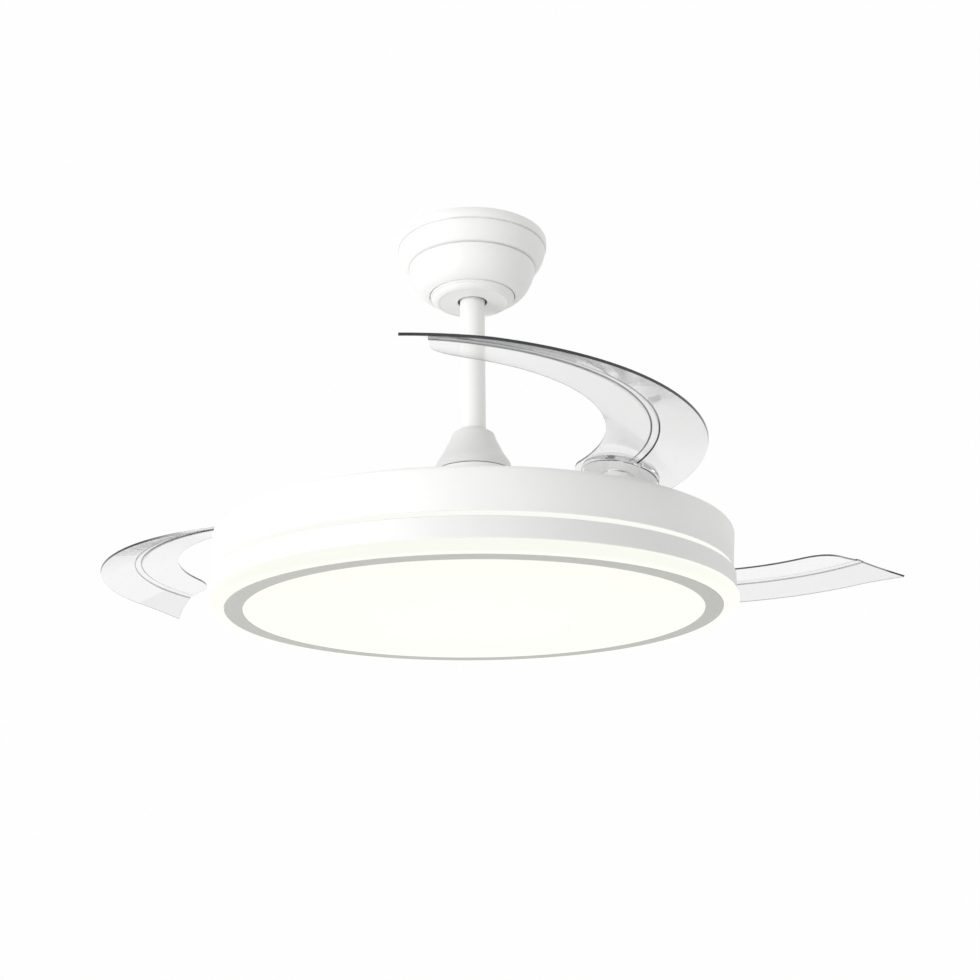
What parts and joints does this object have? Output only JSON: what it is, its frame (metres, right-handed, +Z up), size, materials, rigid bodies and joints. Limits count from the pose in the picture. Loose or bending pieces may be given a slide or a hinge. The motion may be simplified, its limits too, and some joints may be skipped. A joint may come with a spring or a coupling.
{
  "type": "ceiling fan",
  "caption": "White ceiling fan on a short downrod with a round lit drum lamp and three clear blades that fold away over the drum.",
  "frame": {"origin": "Centre of the ceiling bracket's top face, which lies on the ceiling", "axes": "+Z up out of the bracket into the ceiling along the downrod; -Y towards the viewer of the picture, +X to the right"},
  "size_m": [0.8642, 0.8421, 0.398],
  "materials": {
    "white_paint": "satin white powder coat",
    "white_plastic": "moulded white ABS",
    "clear_plastic": "moulded clear polycarbonate",
    "glow_plastic": "opal acrylic diffuser, lit",
    "grey_paint": "satin light grey paint",
    "ground_steel": "turned and ground steel",
    "zinc_steel": "zinc-plated pressed steel",
    "spring_steel": "hardened spring wire",
    "cast_aluminium": "cast and pressed aluminium",
    "silicon_steel": "varnished laminations",
    "copper_wire": "enamelled copper wire",
    "ferrite": "sintered ferrite magnets",
    "black_plastic": "moulded black nylon",
    "board_white": "white circuit board"
  },
  "bodies": {
    "ceiling": {"ceiling_bracket": "zinc_steel", "canopy": "white_paint", "canopy_screw_front": "zinc_steel", "canopy_screw_back": "zinc_steel", "canopy_trim_ring": "white_paint"},
    "hanging": {"hanger_ball": "black_plastic", "ball_cross_pin": "zinc_steel", "downrod": "white_paint", "motor_coupler": "cast_aluminium", "coupler_pin": "zinc_steel", "coupler_set_screw": "zinc_steel", "coupling_cover": "white_paint", "motor_shaft": "ground_steel", "upper_bearing": "ground_steel", "lower_bearing": "ground_steel", "stator_core": "silicon_steel", "stator_winding": "copper_wire", "lamp_chassis": "white_paint", "drum_shell": "white_paint", "light_strip": "glow_plastic", "white_band": "white_paint", "glow_ring": "glow_plastic", "grey_trim_ring": "grey_paint", "bottom_diffuser": "glow_plastic", "led_board": "board_white", "board_spacer_1": "zinc_steel", "board_spacer_2": "zinc_steel", "board_spacer_3": "zinc_steel", "led_driver": "white_plastic", "remote_receiver": "white_plastic", "shaft_nut": "zinc_steel"},
    "rotor": {"upper_housing": "white_paint", "lower_housing": "cast_aluminium", "housing_screw_1": "zinc_steel", "housing_screw_2": "zinc_steel", "housing_screw_3": "zinc_steel", "magnet_ring": "ferrite", "blade_carrier": "white_paint", "pivot_post_1": "ground_steel", "pivot_post_2": "ground_steel", "pivot_post_3": "ground_steel", "pivot_screw_1": "zinc_steel", "pivot_screw_2": "zinc_steel", "pivot_screw_3": "zinc_steel", "stop_post_1": "ground_steel", "stop_post_2": "ground_steel", "stop_post_3": "ground_steel", "blade_spring_1": "spring_steel", "blade_spring_2": "spring_steel", "blade_spring_3": "spring_steel"},
    "blade_arm_1": {"blade_hub_1": "white_plastic", "blade_1": "clear_plastic", "hub_clamp_1": "white_plastic"},
    "blade_arm_2": {"blade_hub_2": "white_plastic", "blade_2": "clear_plastic", "hub_clamp_2": "white_plastic"},
    "blade_arm_3": {"blade_hub_3": "white_plastic", "blade_3": "clear_plastic", "hub_clamp_3": "white_plastic"}
  },
  "joints": [
    {"name": "hanger_tilt", "type": "hinge", "parent": "ceiling", "child": "hanging", "pos_m": [0, 0, -0.03443], "axis": [1, 0, 0], "range_deg": [-2, 2]},
    {"name": "rotor_spin", "type": "hinge", "parent": "hanging", "child": "rotor", "pos_m": [0, 0, -0.31], "axis": [0, 0, 1], "continuous": true},
    {"name": "blade_1_pivot", "type": "hinge", "parent": "rotor", "child": "blade_arm_1", "pos_m": [0.12708, -0.16956, -0.31], "axis": [0, 0, 1], "range_deg": [-77.5, 0]},
    {"name": "blade_2_pivot", "type": "hinge", "parent": "rotor", "child": "blade_arm_2", "pos_m": [0.08331, 0.19484, -0.31], "axis": [0, 0, 1], "range_deg": [-66.5, 11]},
    {"name": "blade_3_pivot", "type": "hinge", "parent": "rotor", "child": "blade_arm_3", "pos_m": [-0.21039, -0.02527, -0.31], "axis": [0, 0, 1], "range_deg": [-66.5, 11]}
  ]
}
